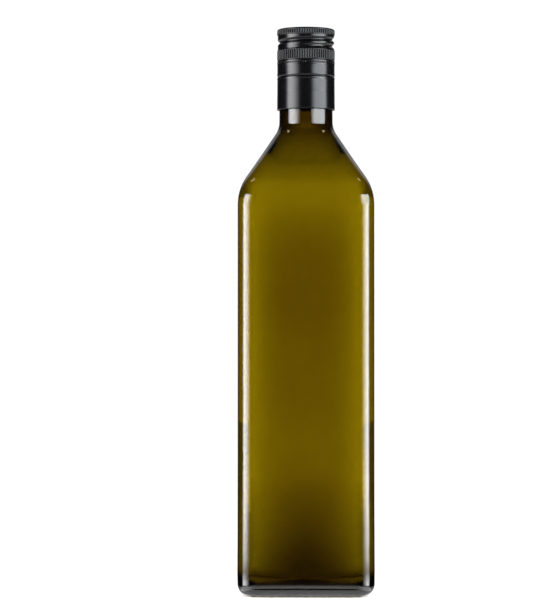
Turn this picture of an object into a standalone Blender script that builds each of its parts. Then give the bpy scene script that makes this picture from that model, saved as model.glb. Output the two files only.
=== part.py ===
"""A square one-litre oil bottle of olive-green glass, filled with oil and closed with a black screw cap.

Metres, +Z up. The origin is the centre of the base, on the surface that the bottle stands on.
The front face looks along -Y. All four sides are the same.
"""

import math

import bmesh
import bpy
from mathutils import Matrix

MM = 0.001

# Body of the bottle: a rounded square, 74.1 mm across, that widens a little towards its base
BODY_HALF = 37.05 * MM
BODY_CORNER = 9.0 * MM
FOOT_FLARE = 0.45 * MM
FLARE_TOP = 92 * MM
HEEL_RADIUS = 7.0 * MM
HEEL_CORNER = 4.5 * MM

# Shoulder: a long arc, four sloping faces and a hollow curve into the round neck
SHOULDER_START = 212.2 * MM
SHOULDER_RADIUS = 29 * MM
SHOULDER_SLOPE = math.radians(32.5)
NECK_RADIUS = 14.8 * MM
NECK_CURVE = 12 * MM

# Finish: the plain glass tube that the cap hides
FINISH_RADIUS = 13.5 * MM
FINISH_START = 274 * MM
FINISH_FULL = 280 * MM
MOUTH_HEIGHT = 308.5 * MM
LIP_ROUND = 1.0 * MM

# Walls and base of the glass
BODY_WALL = 3.3 * MM
NECK_WALL = 6.2 * MM
BORE_RADIUS = NECK_RADIUS - NECK_WALL
FLOOR_HEIGHT = 6.2 * MM
FLOOR_CURVE = 9 * MM
FLOOR_DOME = 3.0 * MM
BEARING_WIDTH = 4 * MM
BEARING_HEIGHT = 0.5 * MM
PUNT_HEIGHT = 5.5 * MM

# Small bars under the bearing ring, on which the bottle stands
BARS_PER_SIDE = 11
BAR_PITCH = 4.59 * MM
BAR_HALF_WIDTH = 1.3 * MM
BAR_HALF_LENGTH = 3.2 * MM
CORNER_BAR_AT = 28.4 * MM
CORNER_BAR_HALF_LENGTH = 2.4 * MM

# Oil, filled to a level that the cap hides
OIL_LEVEL = 276 * MM
FIT_GAP = 0.3 * MM

# Cap: a rolled aluminium shell. Its heights are measured down from its top
CAP_TOP = 310.3 * MM
CAP_HEIGHT = 44.6 * MM
CAP_EDGE = 0.9 * MM
CAP_CROWN_THICKNESS = 1.5 * MM
THREAD_LAND_RADIUS = 15.5 * MM
SKIRT_RADIUS = 15.75 * MM
SKIRT_FOOT_RADIUS = 15.95 * MM
SKIRT_INSIDE = 15.3 * MM
THREAD_INSIDE = FINISH_RADIUS + 0.4 * MM
KNURL_TIP = 16.05 * MM
KNURL_ROOT = 15.78 * MM
KNURL_TEETH = 72
CROWN_KNURL = (1.0 * MM, 3.1 * MM)
GRIP_KNURL = (12.1 * MM, 17.0 * MM)
SLIT_DEPTH_DOWN = 19.1 * MM
SLIT_HEIGHT = 0.5 * MM
SLIT_CUT = 0.5 * MM
BRIDGES = 8
BRIDGE_WIDTH = 1.1 * MM
SKIRT_GROOVE_DOWN = 26.3 * MM
SKIRT_GROOVE_CUT = 0.35 * MM

# Thread rolled into the cap: a right-hand groove, counted from the front face
THREAD_PITCH = 3.6 * MM
THREAD_FRONT_HEIGHT = 303.65 * MM
THREAD_START_TURN = 0.65
THREAD_END_TURN = -1.1
THREAD_TUBE = 1.2 * MM
THREAD_RUN_OUT = 0.35
THREAD_STEPS_PER_TURN = 36

CORNER_STEPS = 6
CAP_STEPS = 64
WELD = 0.01 * MM


def clear_scene():
    for obj in list(bpy.data.objects):
        bpy.data.objects.remove(obj)


def new_collection(name, hidden=False):
    collection = bpy.data.collections.new(name)
    bpy.context.scene.collection.children.link(collection)
    collection.hide_render = hidden
    return collection


def make_material(name, colour, roughness, metallic=0.0, transmission=0.0):
    material = bpy.data.materials.new(name)
    material.use_nodes = True
    shader = material.node_tree.nodes["Principled BSDF"]
    shader.inputs["Base Color"].default_value = (*colour, 1.0)
    shader.inputs["Roughness"].default_value = roughness
    shader.inputs["Metallic"].default_value = metallic
    shader.inputs["Transmission Weight"].default_value = transmission
    return material


def add_object(name, mesh, collection, material=None):
    obj = bpy.data.objects.new(name, mesh)
    collection.objects.link(obj)
    if material is not None:
        mesh.materials.append(material)
    return obj


def shade(mesh, sharp_over=32):
    mesh.shade_smooth()
    mesh.set_sharp_from_angle(angle=math.radians(sharp_over))


# Outlines, as lists of (distance from the axis, height)


def arc(centre, radius, start, end, steps):
    """Points on an arc, with angles in radians from the outward direction."""
    points = []
    for step in range(steps + 1):
        angle = start + (end - start) * step / steps
        points.append(
            (
                centre[0] + radius * math.cos(angle),
                centre[1] + radius * math.sin(angle),
            )
        )
    return points


def body_half_at(height):
    """Half the width of the body, which flares a little below FLARE_TOP."""
    share = max(0.0, 1 - height / FLARE_TOP)
    return BODY_HALF + FOOT_FLARE * share**1.5


def shoulder_outline(inset, neck_inset):
    """From the top of the straight body, over the shoulder, to the foot of the neck."""
    half = BODY_HALF - inset
    turn = SHOULDER_RADIUS - inset
    neck = NECK_RADIUS - neck_inset
    hollow = NECK_CURVE + neck_inset
    over = arc((half - turn, SHOULDER_START), turn, 0, SHOULDER_SLOPE, 6)
    slope_end = neck + hollow * (1 - math.cos(SHOULDER_SLOPE))
    slope_length = (over[-1][0] - slope_end) / math.sin(SHOULDER_SLOPE)
    slope_rise = slope_length * math.cos(SHOULDER_SLOPE)
    centre_height = over[-1][1] + slope_rise + hollow * math.sin(SHOULDER_SLOPE)
    into_neck = arc(
        (neck + hollow, centre_height),
        hollow,
        math.pi + SHOULDER_SLOPE,
        math.pi,
        4,
    )
    middle = (
        (over[-1][0] + into_neck[0][0]) / 2,
        (over[-1][1] + into_neck[0][1]) / 2,
    )
    return over + [middle] + into_neck


NECK_FOOT = shoulder_outline(0, 0)[-1][1]


def corner_at(height, half, body_corner):
    """Corner radius of a level cut: the body's own, growing until the cut is a circle."""
    share = (height - SHOULDER_START) / (NECK_FOOT - SHOULDER_START)
    share = min(max(share, 0.0), 1.0)
    return min(half, body_corner + (half - body_corner) * share**2.2)


# Lofts between level cuts that change from a square to a circle


def rounded_square(half, corner):
    """Points of a rounded square round the Z axis, anticlockwise from +X."""
    flat = half - corner
    points = []
    for quarter, (side_x, side_y) in enumerate(((1, 1), (-1, 1), (-1, -1), (1, -1))):
        for step in range(CORNER_STEPS + 1):
            angle = math.radians(90 * quarter + 90 * step / CORNER_STEPS)
            points.append(
                (
                    flat * side_x + corner * math.cos(angle),
                    flat * side_y + corner * math.sin(angle),
                )
            )
    return points


def loft(name, cuts):
    """A closed mesh through level cuts, each (half width, height, corner radius)."""
    shape = bmesh.new()
    rings = []
    for half, height, corner in cuts:
        outline = rounded_square(half, corner)
        rings.append([shape.verts.new((x, y, height)) for x, y in outline])
    count = len(rings[0])
    for low, high in zip(rings, rings[1:]):
        for i in range(count):
            j = (i + 1) % count
            shape.faces.new((low[i], low[j], high[j], high[i]))
    shape.faces.new(reversed(rings[0]))
    shape.faces.new(rings[-1])
    bmesh.ops.remove_doubles(shape, verts=shape.verts, dist=WELD)
    bmesh.ops.recalc_face_normals(shape, faces=shape.faces)
    mesh = bpy.data.meshes.new(name)
    shape.to_mesh(mesh)
    shape.free()
    return mesh


def punt_cuts():
    """The pushed-up middle of the base, from its centre out to the bearing ring."""
    edge = body_half_at(0) - HEEL_RADIUS - BEARING_WIDTH
    cuts = []
    for share in (0.1, 0.4, 0.7, 0.9, 1.0):
        height = BEARING_HEIGHT + PUNT_HEIGHT * (1 - share**2)
        corner = edge * share * (1 - 0.75 * share**2)
        cuts.append((edge * share, height, corner))
    return cuts


def heel_cuts():
    """From the bearing ring round the heel to the straight side."""
    half = body_half_at(HEEL_RADIUS) - 0.15 * MM
    centre = (half - HEEL_RADIUS, BEARING_HEIGHT + HEEL_RADIUS)
    cuts = []
    for x, height in arc(centre, HEEL_RADIUS, -math.pi / 2, 0, 6):
        share = max(0.0, (height - BEARING_HEIGHT) / HEEL_RADIUS)
        corner = HEEL_CORNER + (BODY_CORNER - HEEL_CORNER) * share**0.6
        cuts.append((x, height, corner))
    return cuts


def outside_cuts():
    cuts = punt_cuts() + heel_cuts()
    for height in (40 * MM, 66 * MM, FLARE_TOP):
        cuts.append((body_half_at(height), height, BODY_CORNER))
    for half, height in shoulder_outline(0, 0):
        cuts.append((half, height, corner_at(height, half, BODY_CORNER)))
    lip = FINISH_RADIUS - LIP_ROUND
    cuts.append((NECK_RADIUS - 0.1 * MM, FINISH_START, NECK_RADIUS - 0.1 * MM))
    cuts.append((FINISH_RADIUS, FINISH_FULL, FINISH_RADIUS))
    cuts.append((FINISH_RADIUS, MOUTH_HEIGHT - LIP_ROUND, FINISH_RADIUS))
    cuts.append((lip, MOUTH_HEIGHT, lip))
    return cuts


def inside_cuts(shrink=0.0, top=MOUTH_HEIGHT):
    """The hollow of the bottle from its floor up to top, drawn in by shrink."""
    wall = BODY_WALL + shrink
    inner_corner = BODY_CORNER - 0.6 * wall
    floor = FLOOR_HEIGHT + shrink
    flat_edge = body_half_at(floor) - wall - FLOOR_CURVE
    cuts = []
    for share in (0.1, 0.4, 0.7, 1.0):
        height = floor + FLOOR_DOME * math.cos(math.pi / 2 * share) ** 2
        corner = flat_edge * share * (1 - 0.75 * share**2)
        cuts.append((flat_edge * share, height, corner))
    rim = arc((flat_edge, floor + FLOOR_CURVE), FLOOR_CURVE, -math.pi / 2, 0, 5)
    for x, height in rim[1:]:
        cuts.append((x, height, inner_corner))
    for height in (40 * MM, 66 * MM, FLARE_TOP):
        cuts.append((body_half_at(height) - wall, height, inner_corner))
    for half, height in shoulder_outline(wall, NECK_WALL + shrink):
        cuts.append((half, height, corner_at(height, half, inner_corner)))
    bore = BORE_RADIUS - shrink
    cuts.append((bore, top, bore))
    return cuts


def bearing_bars(collection):
    """The bars: long low beads that reach from the heel to the inner edge of the ring."""
    shape = bmesh.new()
    ring = body_half_at(0) - HEEL_RADIUS - BEARING_WIDTH / 2
    spots = []
    for i in range(BARS_PER_SIDE):
        along = (i - (BARS_PER_SIDE - 1) / 2) * BAR_PITCH
        spots.append((ring, along, 0.0, BAR_HALF_LENGTH))
    spots.append((CORNER_BAR_AT, CORNER_BAR_AT, math.pi / 4, CORNER_BAR_HALF_LENGTH))
    for side in range(4):
        for x, y, turn, half_length in spots:
            place = (
                Matrix.Rotation(side * math.pi / 2, 4, "Z")
                @ Matrix.Translation((x, y, BAR_HALF_WIDTH))
                @ Matrix.Rotation(turn, 4, "Z")
                @ Matrix.Diagonal((half_length, BAR_HALF_WIDTH, BAR_HALF_WIDTH, 1))
            )
            bmesh.ops.create_uvsphere(
                shape, u_segments=8, v_segments=6, radius=1, matrix=place
            )
    mesh = bpy.data.meshes.new("bearing_bars")
    shape.to_mesh(mesh)
    shape.free()
    return add_object("bearing_bars", mesh, collection)


def make_bottle(parts, cutters, material):
    """The glass, one piece: up the outside, over the lip and down the inside."""
    mesh = loft("bottle", outside_cuts() + inside_cuts()[::-1])
    bottle = add_object("bottle", mesh, parts, material)
    boolean(bottle, "UNION", bearing_bars(cutters))
    apply_modifiers(bottle)
    shade(bottle.data)
    return bottle


def make_oil(collection, material):
    mesh = loft("oil", inside_cuts(FIT_GAP, OIL_LEVEL))
    shade(mesh)
    return add_object("oil", mesh, collection, material)


# Cap


def cap_outline():
    """Half of a cut through the solid cap: across its top, down its outside, across its foot."""
    foot = CAP_TOP - CAP_HEIGHT
    edge_centre = (KNURL_ROOT - CAP_EDGE, CAP_TOP - CAP_EDGE)
    outline = [(0.0, CAP_TOP)]
    outline += arc(edge_centre, CAP_EDGE, math.pi / 2, 0, 3)
    down = (
        (KNURL_ROOT, 3.3),
        (THREAD_LAND_RADIUS, 3.9),
        (THREAD_LAND_RADIUS, 11.2),
        (KNURL_ROOT, 11.9),
        (KNURL_ROOT, 17.2),
        (SKIRT_RADIUS - 0.2 * MM, 17.6),
        (SKIRT_RADIUS, 18.2),
        (SKIRT_RADIUS, 24.4),
        (SKIRT_RADIUS + 0.15 * MM, 25.3),
    )
    outline += [(radius, CAP_TOP - depth * MM) for radius, depth in down]
    groove = CAP_TOP - SKIRT_GROOVE_DOWN
    outline.append((SKIRT_RADIUS - SKIRT_GROOVE_CUT, groove))
    outline.append((SKIRT_RADIUS + 0.1 * MM, groove - 0.8 * MM))
    outline.append((SKIRT_RADIUS, groove - 1.6 * MM))
    outline.append((SKIRT_FOOT_RADIUS, foot))
    outline.append((0.0, foot))
    return outline


def cavity_outline():
    """Half of a cut through the hollow of the cap, open at its foot."""
    below = CAP_TOP - CAP_HEIGHT - 1 * MM
    return [
        (0.0, CAP_TOP - CAP_CROWN_THICKNESS),
        (THREAD_INSIDE, CAP_TOP - CAP_CROWN_THICKNESS),
        (THREAD_INSIDE, FINISH_FULL + 1 * MM),
        (SKIRT_INSIDE, FINISH_START + 3 * MM),
        (SKIRT_INSIDE, below),
        (0.0, below),
    ]


def turned(name, outline, collection, closed=False):
    """An outline of (radius, height) turned once round the Z axis."""
    edges = [(i, i + 1) for i in range(len(outline) - 1)]
    if closed:
        edges.append((len(outline) - 1, 0))
    mesh = bpy.data.meshes.new(name)
    mesh.from_pydata([(x, 0, z) for x, z in outline], edges, [])
    obj = add_object(name, mesh, collection)
    screw = obj.modifiers.new("turn", "SCREW")
    screw.steps = CAP_STEPS
    screw.render_steps = CAP_STEPS
    screw.use_merge_vertices = True
    screw.merge_threshold = WELD
    return obj


def toothed_ring(name, top_down, bottom_down, collection):
    """A ring of upright grip ridges: a prism whose points stand in and out by turns."""
    shape = bmesh.new()
    height = bottom_down - top_down
    bmesh.ops.create_cone(
        shape,
        cap_ends=True,
        segments=2 * KNURL_TEETH,
        radius1=1,
        radius2=1,
        depth=height,
        matrix=Matrix.Translation((0, 0, CAP_TOP - top_down - height / 2)),
    )
    for vert in shape.verts:
        angle = math.atan2(vert.co.y, vert.co.x)
        tooth = round(angle / math.pi * KNURL_TEETH)
        radius = KNURL_TIP if tooth % 2 else KNURL_ROOT - 0.05 * MM
        vert.co.x *= radius
        vert.co.y *= radius
    mesh = bpy.data.meshes.new(name)
    shape.to_mesh(mesh)
    shape.free()
    return add_object(name, mesh, collection)


def thread_cutter(collection):
    """The helical groove, as a tube that drifts out of the cap at both of its ends."""
    turns = THREAD_START_TURN - THREAD_END_TURN
    count = round(turns * THREAD_STEPS_PER_TURN)
    curve = bpy.data.curves.new("thread_path", "CURVE")
    curve.dimensions = "3D"
    curve.bevel_depth = THREAD_TUBE
    curve.bevel_resolution = 2
    curve.use_fill_caps = True
    spline = curve.splines.new("POLY")
    spline.points.add(count)
    for i in range(count + 1):
        turn = THREAD_END_TURN + turns * i / count
        to_end = min(turn - THREAD_END_TURN, THREAD_START_TURN - turn)
        drift = max(0.0, 1 - to_end / THREAD_RUN_OUT)
        radius = THREAD_LAND_RADIUS + 1.15 * THREAD_TUBE * drift**1.5
        angle = 2 * math.pi * turn - math.pi / 2
        spline.points[i].co = (
            radius * math.cos(angle),
            radius * math.sin(angle),
            THREAD_FRONT_HEIGHT + THREAD_PITCH * turn,
            1.0,
        )
    tube = bpy.data.objects.new("thread_path", curve)
    collection.objects.link(tube)
    return as_mesh(tube, "thread_cutter", collection)


def as_mesh(obj, name, collection):
    """A curve object made a mesh, with its caps welded on."""
    graph = bpy.context.evaluated_depsgraph_get()
    mesh = bpy.data.meshes.new_from_object(obj.evaluated_get(graph))
    shape = bmesh.new()
    shape.from_mesh(mesh)
    bmesh.ops.remove_doubles(shape, verts=shape.verts, dist=WELD)
    bmesh.ops.recalc_face_normals(shape, faces=shape.faces)
    shape.to_mesh(mesh)
    shape.free()
    made = add_object(name, mesh, collection)
    made.matrix_world = obj.matrix_world
    bpy.data.objects.remove(obj)
    return made


def slit_cutter(collection):
    """The tear line: a thin ring, parted by the bridges that hold the foot of the cap on."""
    height = CAP_TOP - SLIT_DEPTH_DOWN
    inner = SKIRT_RADIUS - SLIT_CUT
    outer = KNURL_TIP + 1 * MM
    section = [
        (inner, height - SLIT_HEIGHT / 2),
        (inner, height + SLIT_HEIGHT / 2),
        (outer, height + SLIT_HEIGHT / 2),
        (outer, height - SLIT_HEIGHT / 2),
    ]
    ring = turned("slit_cutter", section, collection, closed=True)
    length = 3 * SLIT_CUT + 2 * MM
    for i in range(BRIDGES):
        angle = 2 * math.pi * i / BRIDGES - math.pi / 2
        gap = bmesh.new()
        place = (
            Matrix.Rotation(angle, 4, "Z")
            @ Matrix.Translation((SKIRT_RADIUS, 0, height))
            @ Matrix.Diagonal((length, BRIDGE_WIDTH, 3 * SLIT_HEIGHT, 1))
        )
        bmesh.ops.create_cube(gap, size=1, matrix=place)
        mesh = bpy.data.meshes.new(f"bridge_{i}")
        gap.to_mesh(mesh)
        gap.free()
        boolean(ring, "DIFFERENCE", add_object(f"bridge_{i}", mesh, collection))
    return ring


def boolean(obj, operation, other):
    other.hide_render = True
    other.display_type = "WIRE"
    modifier = obj.modifiers.new(other.name, "BOOLEAN")
    modifier.operation = operation
    modifier.solver = "EXACT"
    modifier.object = other
    return modifier


def apply_modifiers(obj):
    graph = bpy.context.evaluated_depsgraph_get()
    mesh = bpy.data.meshes.new_from_object(obj.evaluated_get(graph))
    obj.modifiers.clear()
    obj.data = mesh


def make_cap(parts, cutters, material):
    cap = turned("screw_cap", cap_outline(), parts)
    crown = toothed_ring("crown_knurl", *CROWN_KNURL, cutters)
    grip = toothed_ring("grip_knurl", *GRIP_KNURL, cutters)
    boolean(cap, "UNION", crown)
    boolean(cap, "UNION", grip)
    boolean(cap, "DIFFERENCE", thread_cutter(cutters))
    boolean(cap, "DIFFERENCE", slit_cutter(cutters))
    boolean(cap, "DIFFERENCE", turned("cap_cavity", cavity_outline(), cutters))
    apply_modifiers(cap)
    cap.data.materials.clear()
    cap.data.materials.append(material)
    shade(cap.data)
    return cap


def main():
    clear_scene()
    parts = new_collection("square_oil_bottle")
    cutters = new_collection("cutters", hidden=True)
    glass = make_material("olive_glass", (0.20, 0.17, 0.01), 0.03, transmission=1.0)
    oil = make_material("olive_oil", (0.55, 0.42, 0.02), 0.05, transmission=1.0)
    lacquer = make_material("black_lacquer", (0.012, 0.012, 0.013), 0.35)
    make_bottle(parts, cutters, glass)
    make_oil(parts, oil)
    make_cap(parts, cutters, lacquer)
    for obj in list(cutters.objects):
        bpy.data.objects.remove(obj)


main()
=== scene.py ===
import math

import bpy
import numpy as np
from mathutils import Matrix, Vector


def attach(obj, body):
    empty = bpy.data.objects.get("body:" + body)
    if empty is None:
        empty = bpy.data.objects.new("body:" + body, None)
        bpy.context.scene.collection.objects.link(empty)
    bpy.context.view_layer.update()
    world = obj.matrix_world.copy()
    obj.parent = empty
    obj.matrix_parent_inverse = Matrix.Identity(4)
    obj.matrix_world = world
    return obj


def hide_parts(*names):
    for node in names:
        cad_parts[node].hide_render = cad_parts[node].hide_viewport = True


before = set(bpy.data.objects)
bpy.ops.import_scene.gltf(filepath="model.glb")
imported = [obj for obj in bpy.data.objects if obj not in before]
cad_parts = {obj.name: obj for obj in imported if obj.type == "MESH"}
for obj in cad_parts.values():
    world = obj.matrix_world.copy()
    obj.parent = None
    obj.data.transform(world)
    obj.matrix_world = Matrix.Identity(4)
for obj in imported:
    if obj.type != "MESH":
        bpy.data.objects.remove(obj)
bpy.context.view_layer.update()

mm = 0.001
print("frame loaded:", sorted(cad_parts))


def toLinear(hexText):
    # an sRGB hex value as linear red, green, blue
    values = np.array([int(hexText[i:i + 2], 16) / 255 for i in (1, 3, 5)])
    linear = np.where(values <= 0.04045, values / 12.92, ((values + 0.055) / 1.055) ** 2.4)
    return tuple(float(v) for v in linear)


def addNode(tree, kind, settings={}, links={}):
    # adds one node; settings name its properties or free sockets, links name a socket and the output
    # that feeds it
    node = tree.nodes.new(kind)
    for key, value in settings.items():
        if isinstance(key, str) and key in node.bl_rna.properties:
            setattr(node, key, value)
        else:
            node.inputs[key].default_value = value
    for key, output in links.items():
        tree.links.new(output, node.inputs[key])
    return node


def newMaterial(name):
    # an empty material, with its output node
    material = bpy.data.materials.new(name)
    material.use_nodes = True
    material.node_tree.nodes.clear()
    return material, material.node_tree, addNode(material.node_tree, "ShaderNodeOutputMaterial")


def addObject(name, data):
    # puts a mesh, a light or a camera into the scene
    item = bpy.data.objects.new(name, data)
    bpy.context.scene.collection.objects.link(item)
    return item


def smoothStep(low, high, value):
    # 0 below low, 1 above high, and 3t^2 - 2t^3 between them
    t = np.clip((value - low) / (high - low), 0, 1)
    return t * t * (3 - 2 * t)


def arcPoints(centreX, centreZ, radius, startAngle, endAngle, count):
    # x = centre + radius cos(a), z = centre + radius sin(a), for a from start to end in degrees
    a = np.radians(np.linspace(startAngle, endAngle, count))
    return centreX + radius * np.cos(a), centreZ + radius * np.sin(a)


def gridPiece(name, grid, firstPole, lastPole):
    # a closed mesh from a grid of points (rows x columns x 3, in mm) that runs round its columns; one fan
    # of triangles joins the first row to its pole, and another joins the last row to its own
    rows, columns = grid.shape[:2]
    points = np.concatenate([grid.reshape(-1, 3), [firstPole], [lastPole]]) * mm
    ring = np.arange(columns)
    after = (ring + 1) % columns
    low = np.arange(rows - 1)[:, None] * columns
    quads = np.stack([low + ring, low + after, low + after + columns, low + ring + columns], axis=-1)
    pole = np.full(columns, rows * columns)
    last = (rows - 1) * columns
    firstFan = np.stack([pole, after, ring], axis=-1)
    lastFan = np.stack([pole + 1, last + ring, last + after], axis=-1)
    corners = np.concatenate([quads.ravel(), firstFan.ravel(), lastFan.ravel()])
    sizes = np.repeat([4, 3], [(rows - 1) * columns, 2 * columns])
    mesh = bpy.data.meshes.new(name)
    mesh.vertices.add(len(points))
    mesh.vertices.foreach_set("co", points.ravel())
    mesh.loops.add(len(corners))
    mesh.loops.foreach_set("vertex_index", corners)
    mesh.polygons.add(len(sizes))
    mesh.polygons.foreach_set("loop_start", np.cumsum(sizes) - sizes)
    mesh.polygons.foreach_set("use_smooth", np.ones(len(sizes), bool))
    mesh.update(calc_edges=True)
    mesh.validate()
    return addObject(name, mesh)


bottleShape = {
    "columns": 496,            # points round the bottle; 512 would take it past 200,000 triangles
    "halfWidth": 37.05,        # mm, from here on
    "corner": 9.0,
    "footFlare": 0.32,         # the sides widen by this much towards the base
    "flareTop": 92,
    "sideRows": (14, 22, 34, 48, 64, 80, 92, 130, 170, 200),
    "heelRadius": 7.0,
    "heelCorner": 4.5,
    "heelInset": 0.15,
    "heelRows": ((-90, -52, 10), (-51, -22, 34), (-19, 0, 6)),     # degrees from and to, count
    "bearingWidth": 4.0,
    "bearingHeight": 0.5,
    "puntHeight": 5.5,         # rise of the base's middle above the bearing ring
    "shoulderStart": 212.2,
    "shoulderRadius": 29.0,
    "shoulderSlope": 32.5,     # degrees from upright
    "neckRadius": 14.8,
    "neckCurve": 12.0,
    "finishLine": ((14.75, 268), (14.7, 274), (13.5, 280), (13.5, 307.5)),     # radius and height
    "lipRadius": 1.0,
    "barPitch": 4.59,          # little bars under the bearing ring
    "barsFromMiddle": 5,       # on each side of the middle one
    "barDepth": 0.5,
    "barHalfWidth": 1.03,
    "barHalfLength": 2.5,
    "barRows": 2,              # the rows this close to the bearing ring carry them
    "cornerBarAt": 28.4,
    "cornerBarHalfLength": 1.9,
    "seamHeight": 5.2,
    "seamArch": 0.3,
    "seamDepth": 0.62,
    "seamWidth": 0.50,
    "seamFade": (0.66, 0.86),  # shares of the way from the middle of a side to its edge
}

wallShape = {
    "cornerWall": 2.7,         # thin where the glass was blown out into the corners
    "cornerEase": 0.6,         # share of the wall by which the inner corners are tighter
    "rimCorner": 0.6,          # share of their radius at the edge of the floor
    "neckWall": 6.2,
    "floorHeight": 6.2,
    "floorDome": 3.0,
    "floorCurve": 9.0,
    "boreLine": ((0, 268), (0, 290), (0, 307), (0.4, 308.1), (1.1, 308.5)),    # widening, height
    "bulgeHeights": [10, 16, 22, 35, 48, 61, 82, 110, 136, 161, 188, 207, 217, 232],
    "bulgeDepths": [4.0, 3.4, 2.8, 2.0, 1.6, 1.3, 1.05, 1.3, 1.4, 1.7, 1.5, 0.85, 0.3, 0.0],
    "bulgeHalfWidth": 31,
    "bulgeFade": (7, 14),      # heights between which it comes in at the foot
    "bulgeSquare": (30, 75),   # heights between which it turns from a hump to a plateau
    "ripple": 0.02,            # uneven flow of the glass, seen as faint mottling
    "rippleFades": ((14, 30), (200, 225)),
    # share, mm up for each radian, radians for each mm across, start
    "rippleWaves": ((1.0, 7.3, 0.11, 0), (0.7, 3.9, -0.21, 1.7), (0.6, 23, 1 / 3.1, 0)),
}

oilShape = {
    "columns": 256,
    "reach": 0.15,             # mm into the glass
    "level": 276.0,
    "neckTop": 268,
    "meniscus": ((0, 0.6), (0.8, 0.15), (2, 0)),    # distance in from the glass, rise above the level
    "innerRing": 4,
}


def roundedSquare(theta, half, corner):
    # distance from the axis to a rounded square: half / cos(t) on a flat side, and on a corner the far
    # root of the circle of radius corner round (f, f) with f = half - corner
    t = np.abs((theta + np.pi / 4) % (np.pi / 2) - np.pi / 4)
    f = half - corner
    onFlat = half / np.cos(t)
    inRoot = np.maximum(corner ** 2 - f ** 2 * (np.cos(t) - np.sin(t)) ** 2, 0)
    onCorner = f * (np.cos(t) + np.sin(t)) + np.sqrt(inRoot)
    return np.where(np.tan(t) * half <= f, onFlat, onCorner)


def columnAngles(count):
    # angles round the axis, closer together at the corners than at mid side: t + sin(4t)/8
    t = np.arange(count) * 2 * np.pi / count
    return t + 0.125 * np.sin(4 * t)


def bodyHalf(height):
    # half the width of the body: a little wider below flareTop, by (1 - z/top)^2
    s = bottleShape
    return s["halfWidth"] + s["footFlare"] * np.clip(1 - height / s["flareTop"], 0, 1) ** 2


def shoulderLine(counts=(18, 5, 14)):
    # the outline from the body to the neck as x, z and the tilt of its outward normal:
    # an arc over the shoulder, a straight slope and a hollow arc into the neck
    s = bottleShape
    slope, over, hollow = s["shoulderSlope"], s["shoulderRadius"], s["neckCurve"]
    overX, overZ = arcPoints(s["halfWidth"] - over, s["shoulderStart"], over, 0, slope, counts[0])
    hollowX = s["neckRadius"] + hollow
    slopeEnd = hollowX - hollow * math.cos(math.radians(slope))
    rise = (overX[-1] - slopeEnd) / math.tan(math.radians(slope))
    hollowZ = overZ[-1] + rise + hollow * math.sin(math.radians(slope))
    intoX, intoZ = arcPoints(hollowX, hollowZ, hollow, 180 + slope, 180, counts[2])
    between = np.linspace(0, 1, counts[1] + 2)[1:-1]
    x = np.concatenate([overX, overX[-1] + (intoX[0] - overX[-1]) * between, intoX])
    z = np.concatenate([overZ, overZ[-1] + (intoZ[0] - overZ[-1]) * between, intoZ])
    turns = np.linspace(0, slope, counts[0]), np.full(counts[1], slope), np.linspace(slope, 0, counts[2])
    return x, z, np.radians(np.concatenate(turns))


def cornerOf(height, half, bodyCorner, neckFoot):
    # corner radius of a level cut: the body's own, growing by share^2.2 until the cut is a circle
    start = bottleShape["shoulderStart"]
    share = np.clip((height - start) / (neckFoot - start), 0, 1)
    return np.minimum(half, bodyCorner + (half - bodyCorner) * share ** 2.2)


def baseCorner(half, share):
    # corner radius of a cut of the base, at a share of the way out from its middle:
    # half (1 - 0.75 share^2), so from a circle to a rounded square
    return half * (1 - 0.75 * share ** 2)


def joinRows(rows):
    # groups of half widths, heights and corner radii, joined into one array of each
    return [np.concatenate(column) for column in zip(*rows)]


def outsideRows():
    # half width, height and corner radius of each level cut of the outside, from the punt to the lip; round
    # the heel the corner radius grows to the body's by up^0.6
    s = bottleShape
    bearing = s["bearingHeight"]
    edge = bodyHalf(0) - s["heelRadius"] - s["bearingWidth"]
    share = np.linspace(0.08, 1, 13)
    punt = edge * share, bearing + s["puntHeight"] * (1 - share ** 2), baseCorner(edge * share, share)
    across = np.linspace(0, 1, 9)[1:-1]
    innerCorner = baseCorner(edge, 1)
    ringCorner = innerCorner + (s["heelCorner"] - innerCorner) * across
    ring = edge + s["bearingWidth"] * across, np.full(len(across), bearing), ringCorner
    heelHalf = bodyHalf(s["heelRadius"]) - s["heelInset"]
    heelCentre = heelHalf - s["heelRadius"], bearing + s["heelRadius"], s["heelRadius"]
    heelX, heelZ = np.concatenate([arcPoints(*heelCentre, *span) for span in s["heelRows"]], axis=1)
    up = (heelZ - bearing) / s["heelRadius"]
    heel = heelX, heelZ, s["heelCorner"] + (s["corner"] - s["heelCorner"]) * up ** 0.6
    sideZ = np.array(s["sideRows"], float)
    side = bodyHalf(sideZ), sideZ, np.full(len(sideZ), s["corner"])
    x, z = shoulderLine()[:2]
    shoulder = x, z, cornerOf(z, x, s["corner"], z[-1])
    finishX, finishZ = np.array(s["finishLine"]).T
    lip = s["lipRadius"]
    lipX, lipZ = arcPoints(finishX[-1] - lip, finishZ[-1], lip, 20, 90, 4)
    return joinRows([punt, ring, heel, side, shoulder, (finishX, finishZ, finishX), (lipX, lipZ, lipX)])


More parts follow.
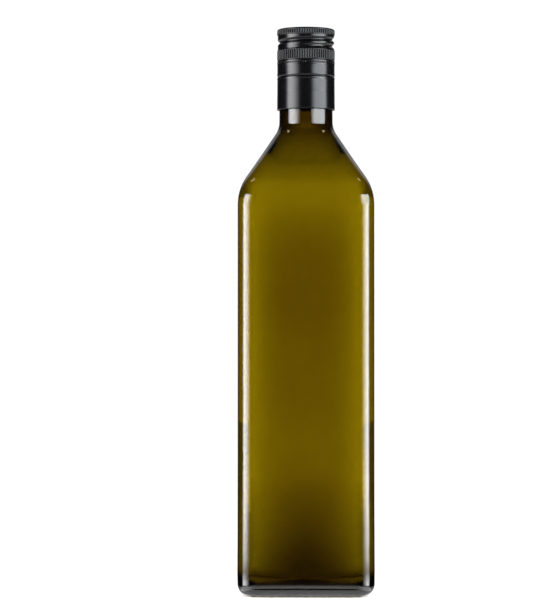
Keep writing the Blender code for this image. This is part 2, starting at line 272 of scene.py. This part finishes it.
def insideRows(grow=0.0):
    # the same for the hollow, from its floor up to the foot of the neck, let out by grow; over the shoulder
    # its wall thickens to the neck's by share^4
    w = wallShape
    corner = bottleShape["corner"] - w["cornerEase"] * w["cornerWall"] + grow
    floorAt = w["floorHeight"] - grow
    edge = bodyHalf(floorAt) - w["cornerWall"] - w["floorCurve"]
    share = np.linspace(0.1, 1, 9)
    floorZ = floorAt + w["floorDome"] * np.cos(np.pi / 2 * share) ** 2
    floor = edge * share, floorZ, baseCorner(edge * share, share)
    rimX, rimZ = arcPoints(edge, w["floorHeight"] + w["floorCurve"], w["floorCurve"] + grow, -90, 0, 12)
    rim = rimX[1:], rimZ[1:], corner * np.linspace(w["rimCorner"], 1, 11)
    sideZ = np.linspace(24, 206, 27)
    side = bodyHalf(sideZ) - w["cornerWall"] + grow, sideZ, np.full(len(sideZ), corner)
    x, z, tilt = shoulderLine((12, 3, 8))
    share = np.clip((z - z[0]) / (z[-1] - z[0]), 0, 1)
    wall = w["cornerWall"] + (w["neckWall"] - w["cornerWall"]) * share ** 4 - grow
    inX, inZ = x - wall * np.cos(tilt), z - wall * np.sin(tilt)
    return joinRows([floor, rim, side, (inX, inZ, cornerOf(inZ, inX, corner, inZ[-1]))])


def barDrop(x, y):
    # how far the little bars reach below the bearing ring: barDepth (1 - (a/w)^2 - (b/l)^2) on each bar,
    # with a and b the places across and along it
    s = bottleShape
    ring = bodyHalf(0) - s["heelRadius"] - s["bearingWidth"] / 2
    across = np.maximum(np.abs(x), np.abs(y)) - ring
    along = np.minimum(np.abs(x), np.abs(y)) * np.sign(x * y)
    count = s["barsFromMiddle"]
    nearest = np.clip(np.round(along / s["barPitch"]), -count, count) * s["barPitch"]
    side = 1 - ((along - nearest) / s["barHalfWidth"]) ** 2 - (across / s["barHalfLength"]) ** 2
    u = (np.abs(x) + np.abs(y)) / math.sqrt(2) - s["cornerBarAt"] * math.sqrt(2)
    v = (np.abs(x) - np.abs(y)) / math.sqrt(2)
    diagonal = 1 - (v / s["barHalfWidth"]) ** 2 - (u / s["cornerBarHalfLength"]) ** 2
    return s["barDepth"] * np.clip(np.maximum(side, diagonal), 0, 1)


def seamCut(x, y, z):
    # the seam between bottom plate and mould: a narrow groove g = depth exp(-((z - seam)/width)^2) along
    # the heel's normal, arched up a little in the middle of each side and gone before the corners
    s = bottleShape
    along = np.minimum(np.abs(x), np.abs(y)) / s["halfWidth"]
    seam = s["seamHeight"] - s["seamArch"] * along ** 2
    fade = 1 - smoothStep(*s["seamFade"], along)
    g = s["seamDepth"] * np.exp(-((z - seam) / s["seamWidth"]) ** 2) * fade
    tilt = np.arcsin(np.clip((s["bearingHeight"] + s["heelRadius"] - z) / s["heelRadius"], 0, 1))
    shrink = 1 - g * np.cos(tilt) / np.hypot(x, y)
    return x * shrink, y * shrink, z + g * np.sin(tilt)


def cutPoints(half, height, corner, angles):
    # points of every level cut: r(angle) from roundedSquare, at that cut's height
    r = roundedSquare(angles[None, :], half[:, None], corner[:, None])
    x, y = r * np.cos(angles), r * np.sin(angles)
    return x, y, np.broadcast_to(height[:, None], x.shape)


def thickenPanels(x, y, z):
    # draws the inner wall in at the middle of each panel: bulge(z) (1 - s^p)^2, with s the place across the
    # panel and p falling from 4 to 2 at the foot, and adds a slow ripple of three sine waves, so that the
    # glass is thick at mid panel and thin by the corners
    w = wallShape
    dense = np.linspace(w["bulgeHeights"][0], w["bulgeHeights"][-1], 400)
    rough = np.interp(dense, w["bulgeHeights"], w["bulgeDepths"])
    window = np.hanning(33)
    soft = np.convolve(np.pad(rough, len(window) // 2, mode="edge"), window / window.sum(), mode="valid")
    bulge = np.interp(z, dense, soft, left=soft[0], right=0) * smoothStep(*w["bulgeFade"], z)
    faceX = np.abs(x) >= np.abs(y)
    across = np.where(faceX, y, x)
    s = np.clip(np.abs(across) / w["bulgeHalfWidth"], 0, 1)
    panel = (1 - s ** (2 + 2 * smoothStep(*w["bulgeSquare"], z))) ** 2
    waves = [share * np.sin(z / up + turn * across + start) for share, up, turn, start in w["rippleWaves"]]
    rippleIn, rippleOut = w["rippleFades"]
    ripple = w["ripple"] * sum(waves) * smoothStep(*rippleIn, z) * (1 - smoothStep(*rippleOut, z))
    draw = (bulge + ripple) * panel
    return x - np.where(faceX, np.sign(x) * draw, 0), y - np.where(faceX, 0, np.sign(y) * draw), z


def joinCuts(first, second):
    # the points of two stacks of level cuts, each x, y, z, as one grid
    return np.stack([np.concatenate(pair) for pair in zip(first, second)], axis=-1)


def makeBottle():
    # one closed sheet: out from the punt, up the outside, over the lip, down the bore and the inside
    angles = columnAngles(bottleShape["columns"])
    x, y, z = cutPoints(*outsideRows(), angles)
    z = z - barDrop(x, y) * (np.abs(z - bottleShape["bearingHeight"]) < bottleShape["barRows"])
    outside = np.stack(seamCut(x, y, z), axis=-1)
    wider, boreZ = np.array(wallShape["boreLine"]).T
    boreX = bottleShape["neckRadius"] - wallShape["neckWall"] + wider
    hollow = thickenPanels(*cutPoints(*insideRows(), angles))
    inside = joinCuts(hollow, cutPoints(boreX, boreZ, boreX, angles))
    puntTop = bottleShape["bearingHeight"] + bottleShape["puntHeight"]
    floorTop = wallShape["floorHeight"] + wallShape["floorDome"]
    grid = np.concatenate([outside, inside[::-1]])
    return gridPiece("glassBottle", grid, (0, 0, puntTop), (0, 0, floorTop))


def makeOil():
    # the oil follows the hollow, let out by a fraction of a millimetre into the wall so that no air shows
    o = oilShape
    angles = columnAngles(o["columns"])
    hollow = thickenPanels(*cutPoints(*insideRows(o["reach"]), angles))
    bore = bottleShape["neckRadius"] - wallShape["neckWall"] + o["reach"]
    surface = [(bore - inward, o["level"] + rise) for inward, rise in o["meniscus"]]
    topX, topZ = np.array([(bore, o["neckTop"]), *surface, (o["innerRing"], o["level"])]).T
    grid = joinCuts(hollow, cutPoints(topX, topZ, topX, angles))
    floorTop = wallShape["floorHeight"] + wallShape["floorDome"] - o["reach"]
    return gridPiece("oilFill", grid, (0, 0, floorTop), (0, 0, o["level"]))


capShape = {
    "top": 310.3,              # mm
    "height": 44.6,
    "edge": 1.0,               # rolled edge of the crown
    "crownRadius": 15.92,
    "crownRows": (3, 8, 12, 13.9, 14.4),
    "ribs": 72,
    "columnPlaces": (0.05, 0.15, 0.25, 0.29, 0.36, 0.64, 0.71, 0.75, 0.85, 0.95),   # shares of a pitch
    "ribDepth": 0.46,
    "crownRibs": (0.9, 3.1),   # depths down from the top
    "gripRibs": (12.1, 17.0),
    "ribFade": (0.15, 0.35),   # outside and inside the ends of their band
    "crest": (0.25, 0.29, 0.88),    # half width and roundness as shares of the pitch, share of the depth
    "threadPitch": 3.6,
    "threadFront": 6.65,
    "threadDepth": 1.05,
    "threadHalfWidth": 1.45,
    "threadTurns": (-1.1, 0.65),
    "threadRunOut": 0.35,
    "slitAt": 19.1,
    "slitDepth": 0.45,
    "slitEdge": (0.18, 0.34),  # distance from its middle, where its wall starts and ends
    "slitRadius": 15.8,
    "bridges": 8,
    "bridgeHalfWidth": 0.55,
    "bridgeEdge": 0.2,
    "bridgeTurn": 0.04,        # radians
    # radius of the outside at each depth down from the top
    "outside": (
        (15.92, 1.0), (15.94, 3.1), (15.82, 3.35), (15.62, 3.75), (15.62, 4.1), (15.62, 11.0),
        (15.68, 11.4), (15.84, 11.8), (15.92, 12.1), (15.92, 17.0), (15.66, 17.25), (15.66, 17.45),
        (15.90, 17.75), (15.97, 18.1), (15.97, 18.6), (15.92, 18.85), (15.92, 20.0), (15.89, 20.15),
        (15.89, 20.3), (15.87, 20.45), (15.87, 24.2), (15.94, 24.9), (16.02, 25.4), (15.98, 25.9),
        (15.57, 26.25), (15.57, 26.45), (15.84, 26.75), (15.98, 27.2), (15.98, 27.6), (15.86, 28.1),
        (15.86, 28.3), (15.89, 28.5), (15.92, 34.8), (15.89, 35.0), (15.93, 35.2), (16.00, 44.0),
        (16.02, 44.6),
    ),
    # rows down the outside as depth from, depth to and count, close together where the shape changes
    "sideRows": (
        (1.0, 1.5, 3), (1.5, 2.7, 2), (2.7, 4.0, 6), (4.0, 11.6, 30), (11.6, 12.7, 6), (12.7, 16.5, 2),
        (16.5, 17.0, 3), (17.0, 18.7, 11), (18.7, 19.5, 9), (19.5, 20.6, 6), (20.6, 24.2, 2),
        (24.2, 28.6, 22), (28.6, 34.7, 2), (34.7, 35.3, 4), (35.3, 44.2, 2), (44.2, 44.6, 1),
    ),
    # radius and depth of the inside, back up from the foot
    "inside": (
        (15.5, 44.6), (15.35, 44.3), (15.3, 43.5), (15.25, 34.5), (14.0, 30.0), (13.9, 28.0), (13.9, 1.6),
        (12.0, 1.5), (4.0, 1.5),
    ),
}


def threadCut(angles, depth):
    # depth of the rolled helical groove: a raised cosine to the power 0.8 across it, centred on
    # front - pitch * turn, that fades over the run-out at both of its ends
    c = capShape
    firstTurn, lastTurn = c["threadTurns"]
    cut = np.zeros(np.broadcast(angles, depth).shape)
    turnHere = (angles + np.pi / 2) / (2 * np.pi)
    for whole in range(-3, 3):    # every turn on which the groove can pass an angle
        turn = turnHere + whole
        off = np.abs(depth - (c["threadFront"] - c["threadPitch"] * turn)) / c["threadHalfWidth"]
        across = np.where(off < 1, 0.5 + 0.5 * np.cos(np.pi * off), 0)
        run = np.minimum(turn - firstTurn, lastTurn - turn) / c["threadRunOut"]
        cut = np.maximum(cut, c["threadDepth"] * across ** 0.8 * smoothStep(0, 1, run))
    return cut


def grooveShare(angles, depth, band):
    # the grooves between the upright ribs: with d the distance from a crest's middle in pitches, a round
    # crest falls by fall (1 - sqrt(1 - (d / round)^2)), and from its half width on a steep wall leads to a
    # flat floor at the full depth; faded at the ends of their band
    c = capShape
    halfWidth, roundness, fall = c["crest"]
    outer, inner = c["ribFade"]
    d = 0.5 - np.abs((c["ribs"] * angles / (2 * np.pi)) % 1 - 0.5)
    crest = fall * (1 - np.sqrt(1 - np.clip(d / roundness, 0, 1) ** 2))
    top = smoothStep(band[0] - outer, band[0] + inner, depth)
    foot = 1 - smoothStep(band[1] - inner, band[1] + outer, depth)
    return np.maximum(crest, smoothStep(halfWidth, roundness, d)) * top * foot


def slitCut(angles, depth):
    # the tear line: a narrow cut, with a smooth step on each side and at each of the uncut bridges
    c = capShape
    across = 1 - smoothStep(*c["slitEdge"], np.abs(depth - c["slitAt"]))
    step = 2 * np.pi / c["bridges"]
    turned = (angles + np.pi / 2 + c["bridgeTurn"] + step / 2) % step - step / 2
    half, edge = c["bridgeHalfWidth"], c["bridgeEdge"]
    return c["slitDepth"] * across * smoothStep(half - edge, half + edge, np.abs(turned) * c["slitRadius"])


def makeCap():
    # one closed sheet, turned round the axis: the crown, the side with its ribs, thread and tear line, and
    # the inside
    c = capShape
    pitch = 2 * np.pi / c["ribs"]
    angles = (np.arange(c["ribs"])[:, None] + np.array(c["columnPlaces"])).ravel() * pitch
    edgeX, edgeZ = arcPoints(c["crownRadius"] - c["edge"], c["top"] - c["edge"], c["edge"], 90, 12, 7)
    crownX = np.concatenate([c["crownRows"], edgeX])
    crownZ = np.concatenate([np.full(len(c["crownRows"]), c["top"]), edgeZ])
    spans = [np.linspace(*span, endpoint=False) for span in c["sideRows"]]
    depth = np.concatenate([*spans, [c["height"]]])
    lineX, lineDepth = np.array(c["outside"]).T
    innerX, innerDepth = np.array(c["inside"]).T
    level = depth[:, None]
    grooves = grooveShare(angles, level, c["crownRibs"]) + grooveShare(angles, level, c["gripRibs"])
    side = np.interp(level, lineDepth, lineX) - c["ribDepth"] * grooves
    side = side - threadCut(angles, level) - slitCut(angles, level)
    crownPlain, innerPlain = [np.zeros((len(x), len(angles))) for x in (crownX, innerX)]
    r = np.concatenate([crownPlain + crownX[:, None], side, innerPlain + innerX[:, None]])
    z = np.concatenate([crownZ, c["top"] - depth, c["top"] - innerDepth])
    z = np.broadcast_to(z[:, None], r.shape)
    grid = np.stack([r * np.cos(angles), r * np.sin(angles), z], axis=-1)[::-1]
    cap = gridPiece("screwCap", grid, (0, 0, c["top"] - innerDepth[-1]), (0, 0, c["top"]))
    # how deep in a groove each point lies, for the lacquer
    shares = np.concatenate([crownPlain, grooves, innerPlain])[::-1].ravel()
    shares = np.pad(shares, (0, len(cap.data.vertices) - len(shares)))
    cap.data.attributes.new("groove", "FLOAT", "POINT").data.foreach_set("value", shares.astype(np.float32))
    return cap


glassLook = {
    "ior": 1.52,
    "roughness": 0.0,
    "absorb": (250.0, 304.0, 1200.0),   # per metre, for red, green and blue
    "waveSize": 9.0,                    # mm between the slow waves that the mould leaves
    "waveHeight": 0.001,                # mm
}

oilLook = {
    "ior": 1.385,                       # below that of real oil, which would mirror the shoulder black
    "absorb": (0.6, 1.6, 14.0),
}

lacquerLook = {
    "colour": "#040405",
    "roughness": 0.19,
    "grooveRoughness": 0.90,            # the lacquer stays matt in the grooves
    "grooveEdge": (0.22, 0.5),          # shares of the ribs' depth between which it turns matt
    "ior": 1.5,
    "specular": 0.30,
    "grain": 0.35,                      # mm, orange peel of the sprayed coat
    "grainHeight": 0.002,
}


def fineBump(tree, size, height, detail, roughness):
    # a noise bump on Object coordinates, with its size and height in mm
    place = addNode(tree, "ShaderNodeTexCoord")
    noise = addNode(tree, "ShaderNodeTexNoise", {
        "Scale": 1 / (size * mm), "Detail": detail, "Roughness": roughness,
    }, {"Vector": place.outputs["Object"]})
    bump = addNode(tree, "ShaderNodeBump", {
        "Strength": 1.0, "Distance": height * mm,
    }, {"Height": noise.outputs["Fac"]})
    return bump.outputs["Normal"]


def clearBody(tree, output, surface, absorb):
    # a clear body: its surface lets shadow rays pass, and its volume absorbs. Density (1 - colour) is the
    # share of each colour that is lost per metre
    clear = addNode(tree, "ShaderNodeBsdfTransparent")
    path = addNode(tree, "ShaderNodeLightPath")
    mix = addNode(tree, "ShaderNodeMixShader", {}, {
        0: path.outputs["Is Shadow Ray"], 1: surface.outputs[0], 2: clear.outputs[0],
    })
    tree.links.new(mix.outputs[0], output.inputs["Surface"])
    density = max(absorb)
    colour = (*[1 - share / density for share in absorb], 1)
    volume = addNode(tree, "ShaderNodeVolumeAbsorption", {"Color": colour, "Density": density})
    tree.links.new(volume.outputs[0], output.inputs["Volume"])


def bottleGlass():
    # soda-lime bottle glass, olive green, blown in a mould: clear and glossy, faintly wavy, and dark by its
    # thickness
    look = glassLook
    material, tree, output = newMaterial("oliveSodaLimeBottleGlass")
    glass = addNode(tree, "ShaderNodeBsdfPrincipled", {
        "Base Color": (1, 1, 1, 1), "Roughness": look["roughness"], "IOR": look["ior"],
        "Transmission Weight": 1.0,
    }, {"Normal": fineBump(tree, look["waveSize"], look["waveHeight"], 1.0, 0.4)})
    clearBody(tree, output, glass, look["absorb"])
    return material


def vegetableOil():
    # pressed olive oil, a clear golden liquid that wets the glass, so its surface has no gloss of its own
    material, tree, output = newMaterial("clearOliveOil")
    liquid = addNode(tree, "ShaderNodeBsdfPrincipled", {
        "Base Color": (1, 1, 1, 1), "Roughness": 0.0, "IOR": oilLook["ior"], "Transmission Weight": 1.0,
        "Specular Tint": (0, 0, 0, 1),
    })
    clearBody(tree, output, liquid, oilLook["absorb"])
    return material


def blackLacquer():
    # stove-dried satin lacquer on rolled aluminium: near black, with soft highlights and a very fine orange
    # peel, and matt in the grooves between the ribs
    look = lacquerLook
    material, tree, output = newMaterial("satinLacqueredAluminium")
    groove = addNode(tree, "ShaderNodeAttribute", {"attribute_name": "groove"})
    start, end = look["grooveEdge"]
    matt = addNode(tree, "ShaderNodeMapRange", {
        "From Min": start, "From Max": end, "To Min": look["roughness"], "To Max": look["grooveRoughness"],
    }, {"Value": groove.outputs["Fac"]})
    normal = fineBump(tree, look["grain"], look["grainHeight"], 2.0, 0.5)
    lacquer = addNode(tree, "ShaderNodeBsdfPrincipled", {
        "Base Color": (*toLinear(look["colour"]), 1), "IOR": look["ior"],
        "Specular IOR Level": look["specular"],
    }, {"Roughness": matt.outputs[0], "Normal": normal})
    tree.links.new(lacquer.outputs[0], output.inputs["Surface"])
    return material


bottle = makeBottle()
bottle.data.materials.append(bottleGlass())
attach(bottle, "root")
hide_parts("bottle")
print("bottle blown:", len(bottle.data.polygons), "faces")

oil = makeOil()
oil.data.materials.append(vegetableOil())
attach(oil, "root")
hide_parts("oil")
print("oil filled:", len(oil.data.polygons), "faces")

cap = makeCap()
cap.data.materials.append(blackLacquer())
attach(cap, "root")
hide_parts("screw_cap")
print("cap rolled:", len(cap.data.polygons), "faces")


studio = {
    "floor": ("#fbfbfa", 3.0),  # colour, half width in metres
    # painted shade: how bright the floor glows through the glass, in place of the lit board: two distances
    # in metres, and the light at each of them
    "paintedShades": (
        ("away", (0.10, 1.25), (0.38, 1.05)),       # painted light: brighter close to the bottle
        ("aside", (0.08, 0.30), (1.0, 0.35)),       # painted shade: darker to the sides
        ("away", (0.036, 0.056), (0.10, 1.0)),      # painted shadow: dark under the bottle itself
    ),
    "backdrop": 1.03,
    # brightness by direction: axis, from, to, brightness there
    "ramps": {
        "head": ("Z", 0.050, 0.090, 1.03, 0.80),
        "ceiling": ("Z", 0.15, 0.60, 1.0, 0.20),
        "cardLeft": ("X", -0.75, -0.30, 0.10, 1.0),
        "cardRight": ("X", 0.30, 0.75, 1.0, 0.10),
        "backdrop": ("Y", 0.88, 0.99, 0.015, 1.03),
        "backdropTop": ("Z", 0.25, 0.45, 0.0, 1.0),
        "backdropWidth": ("Y", 0.55, 0.90, 0.0, 0.9),
        "table": ("Z", -0.42, -0.10, 1.6, 0.0),
        "tableEnd": ("Y", -0.10, 0.70, 1.0, 0.6),
    },
    # how they combine, up to what shows through the glass and what shows in its gloss
    "sums": (
        ("steep", "MULTIPLY", "head", "ceiling"),
        ("cards", "MULTIPLY", "cardLeft", "cardRight"),
        ("through", "MULTIPLY", "steep", "cards"),
        ("top", "MULTIPLY", "backdropTop", "backdropWidth"),
        ("front", "MULTIPLY", "table", "tableEnd"),
        ("behind", "MAXIMUM", "backdrop", "top"),
        ("gloss", "MAXIMUM", "behind", "front"),
    ),
    "panelDistance": 0.9,
    # azimuths from the camera's side, heights, radiance, tint, share of the width or height over which each
    # edge fades: the one nearer the camera, the far one, the foot and the top
    "panels": {
        "panelLeftLow": ((-88, -26), (-0.115, 0.30), 18.5, "#ffffff", (0.36, 0.76, 0.34, 0.06)),
        "panelRightLow": ((26, 88), (-0.115, 0.30), 18.5, "#fdfffc", (0.36, 0.76, 0.34, 0.06)),
        "panelLeftHigh": ((-86, -22), (0.28, 0.76), 13.8, "#fbfbff", (0.30, 0.60, 0.03, 0.15)),
        "panelRightHigh": ((19, 93), (0.28, 0.76), 10.9, "#f3faff", (0.20, 0.32, 0.03, 0.15)),
    },
    "cards": {                  # place, size, turn in degrees, radiance
        "tableCardLeft": ((-0.077, -0.062, 0.0003), (0.10, 0.022), 30, 2.1),
        "tableCardRight": ((0.077, -0.062, 0.0003), (0.10, 0.022), -30, 2.1),
    },
    "paintedShadowCard": (0.0295, -0.0002, 0.002),      # painted shadow, a black sheet under the bottle: half width, height, how light it is
    "lampAim": (0, 0, 0.226),
    "lamps": {                  # place, size, radiance, tint
        "lampLeft": ((-0.661, 0.130, 1.233), (0.16, 0.15), 6.0, "#ffe9cf"),
        "lampRight": ((0.661, 0.130, 1.233), (0.16, 0.15), 6.0, "#ffe9cf"),
    },
}

cameraPlace = {
    "distance": 1.5,
    "height": 0.1392,
    "photo": (550, 611),        # pixels
    "focalPixels": 2719.0,
    "axisAt": 306.0,            # pixel column of the bottle's axis
    "horizonAt": 339.5,         # pixel row of the horizon
    "sensor": 36,
}


def flatSquare(name, half, height, material):
    # a level square round the axis
    mesh = bpy.data.meshes.new(name)
    corners = [(x * half, y * half, height) for x, y in ((-1, -1), (1, -1), (1, 1), (-1, 1))]
    mesh.from_pydata(corners, [], [(0, 1, 2, 3)])
    mesh.materials.append(material)
    return addObject(name, mesh)


def makeFloor():
    # a matt white board; through the glass it is seen instead as a glow of painted light and shade at a
    # brightness of its own, the product of the shades
    colour, half = studio["floor"]
    material, tree, output = newMaterial("whiteBoardWithPaintedShade")
    place = addNode(tree, "ShaderNodeTexCoord")
    away = addNode(tree, "ShaderNodeVectorMath", {"operation": "LENGTH"}, {0: place.outputs["Object"]})
    split = addNode(tree, "ShaderNodeSeparateXYZ", {}, {0: place.outputs["Object"]})
    aside = addNode(tree, "ShaderNodeMath", {"operation": "ABSOLUTE"}, {0: split.outputs["X"]})
    distances = {"away": away.outputs["Value"], "aside": aside.outputs[0]}
    level = addNode(tree, "ShaderNodeValue").outputs[0]
    level.default_value = 1.0
    for kind, (near, far), (atNear, atFar) in studio["paintedShades"]:
        paintedShade = addNode(tree, "ShaderNodeMapRange", {
            "From Min": near, "From Max": far, "To Min": atNear, "To Max": atFar,
        }, {"Value": distances[kind]})
        inputs = {0: level, 1: paintedShade.outputs[0]}
        level = addNode(tree, "ShaderNodeMath", {"operation": "MULTIPLY"}, inputs).outputs[0]
    # painted shade: the glow that rays through the glass see in place of the lit board
    paintedGlow = addNode(tree, "ShaderNodeEmission", {}, {"Strength": level})
    path = addNode(tree, "ShaderNodeLightPath")
    board = addNode(tree, "ShaderNodeBsdfDiffuse", {"Color": (*toLinear(colour), 1)})
    mix = addNode(tree, "ShaderNodeMixShader", {}, {
        0: path.outputs["Is Transmission Ray"], 1: board.outputs[0], 2: paintedGlow.outputs[0],
    })
    tree.links.new(mix.outputs[0], output.inputs["Surface"])
    material.cycles.emission_sampling = "NONE"
    floor = flatSquare("studioFloor", half, 0, material)
    floor.visible_glossy = False


def makePaintedShadowCard():
    # painted shadow: a black sheet under the bottle, hidden from the camera and from diffuse light, that
    # stands in for the dark under it as the gloss of its foot shows it
    half, height, lightness = studio["paintedShadowCard"]
    material, tree, output = newMaterial("paintedShadowBlack")
    shadowSurface = addNode(tree, "ShaderNodeBsdfDiffuse", {"Color": (lightness, lightness, lightness, 1)})
    tree.links.new(shadowSurface.outputs[0], output.inputs["Surface"])
    card = flatSquare("paintedShadowCard", half, height, material)
    card.visible_camera = False
    card.visible_diffuse = False


def makeWorld():
    # an even white backdrop. The light behind the bottle, seen through it, is strongest near the horizon and
    # dims above it and at black cards on both sides. In gloss the room is dark, apart from the backdrop,
    # its top and the table in front, so that the panels make the bright strips
    world = bpy.data.worlds.new("studioWorld")
    bpy.context.scene.world = world
    world.use_nodes = True
    tree = world.node_tree
    tree.nodes.clear()
    output = addNode(tree, "ShaderNodeOutputWorld")
    place = addNode(tree, "ShaderNodeTexCoord")
    split = addNode(tree, "ShaderNodeSeparateXYZ", {}, {0: place.outputs["Generated"]})
    path = addNode(tree, "ShaderNodeLightPath")
    level = {}
    for name, (axis, fromMin, fromMax, toMin, toMax) in studio["ramps"].items():
        level[name] = addNode(tree, "ShaderNodeMapRange", {
            "interpolation_type": "SMOOTHSTEP",
            "From Min": fromMin, "From Max": fromMax, "To Min": toMin, "To Max": toMax,
        }, {"Value": split.outputs[axis]}).outputs[0]
    for name, operation, first, second in studio["sums"]:
        inputs = {0: level[first], 1: level[second]}
        level[name] = addNode(tree, "ShaderNodeMath", {"operation": operation}, inputs).outputs[0]
    byGloss = addNode(tree, "ShaderNodeMix", {2: studio["backdrop"]}, {
        0: path.outputs["Is Glossy Ray"], 3: level["gloss"],
    })
    byThrough = addNode(tree, "ShaderNodeMix", {}, {
        0: path.outputs["Is Transmission Ray"], 2: byGloss.outputs[0], 3: level["through"],
    })
    light = addNode(tree, "ShaderNodeBackground", {
        "Color": (1, 1, 1, 1),
    }, {"Strength": byThrough.outputs[0]})
    tree.links.new(light.outputs[0], output.inputs["Surface"])


def areaLight(name, place, size, radiance, tint="#ffffff"):
    # a rectangle that glows evenly with the given radiance and that the camera doesn't see
    data = bpy.data.lights.new(name, "AREA")
    data.shape = "RECTANGLE"
    data.size, data.size_y = size
    data.color = toLinear(tint)
    data.energy = radiance * math.pi * size[0] * size[1]
    light = addObject(name, data)
    light.location = place
    light.visible_camera = False
    return light


def faceAlong(item, direction):
    # turns a light or the camera, which look down their own -Z, to face along a direction
    item.rotation_euler = Vector(direction).to_track_quat("-Z", "Y").to_euler()


def makePanel(name, azimuths, heights, radiance, tint, fades):
    # an upright soft box that spans the given azimuths as seen from the bottle, and fades towards each edge
    low, high = [math.radians(a) for a in azimuths]
    middle = (low + high) / 2
    distance = studio["panelDistance"]
    bottom, top = heights
    size = 2 * distance * math.tan((high - low) / 2), top - bottom
    place = distance * math.sin(middle), -distance * math.cos(middle), (top + bottom) / 2
    panel = areaLight(name, place, size, radiance, tint)
    faceAlong(panel, (-math.sin(middle), math.cos(middle), 0))
    panel.data.use_nodes = True
    tree = panel.data.node_tree
    tree.nodes.clear()
    output = addNode(tree, "ShaderNodeOutputLight")
    uv = addNode(tree, "ShaderNodeTexCoord")
    split = addNode(tree, "ShaderNodeSeparateXYZ", {}, {0: uv.outputs["UV"]})
    near, far = fades[:2] if middle < 0 else fades[1::-1]
    level = addNode(tree, "ShaderNodeValue").outputs[0]
    level.default_value = 1.0
    for axis, edge, inner in ((0, 0, near), (0, 1, 1 - far), (1, 0, fades[2]), (1, 1, 1 - fades[3])):
        fade = addNode(tree, "ShaderNodeMapRange", {
            "interpolation_type": "SMOOTHSTEP", "From Min": edge, "From Max": inner,
        }, {"Value": split.outputs[axis]})
        inputs = {0: level, 1: fade.outputs[0]}
        level = addNode(tree, "ShaderNodeMath", {"operation": "MULTIPLY"}, inputs).outputs[0]
    glow = addNode(tree, "ShaderNodeEmission", {}, {"Strength": level})
    tree.links.new(glow.outputs[0], output.inputs["Surface"])


def makeLamp(name, place, size, radiance, tint):
    # a small lamp overhead that faces the shoulder; it makes one short glint on each shoulder corner
    lamp = areaLight(name, place, size, radiance, tint)
    faceAlong(lamp, Vector(studio["lampAim"]) - Vector(place))


def makeCard(name, place, size, turn, radiance):
    # a white card flat on the table; the bright strips run on into it round the bottle's heel
    card = areaLight(name, place, size, radiance)
    card.rotation_euler = (math.pi, 0, math.radians(turn))
    card.visible_diffuse = False


def makeCamera():
    # the photograph's frame, with its long side upright; the bottle stands right of its middle
    c = cameraPlace
    width, height = c["photo"]
    data = bpy.data.cameras.new("camera")
    data.sensor_fit = "VERTICAL"
    data.sensor_height = c["sensor"]
    data.lens = c["focalPixels"] / height * c["sensor"]
    camera = addObject("camera", data)
    camera.location = (0, -c["distance"], c["height"])
    aside, up = -(c["axisAt"] - width / 2), c["horizonAt"] - height / 2
    faceAlong(camera, (aside / c["focalPixels"], 1, up / c["focalPixels"]))
    bpy.context.scene.camera = camera


makeFloor()
makePaintedShadowCard()
makeWorld()
for name, panel in studio["panels"].items():
    makePanel(name, *panel)
for name, card in studio["cards"].items():
    makeCard(name, *card)
for name, lamp in studio["lamps"].items():
    makeLamp(name, *lamp)
makeCamera()
bpy.context.scene.view_settings.view_transform = "Standard"
print("studio lit")
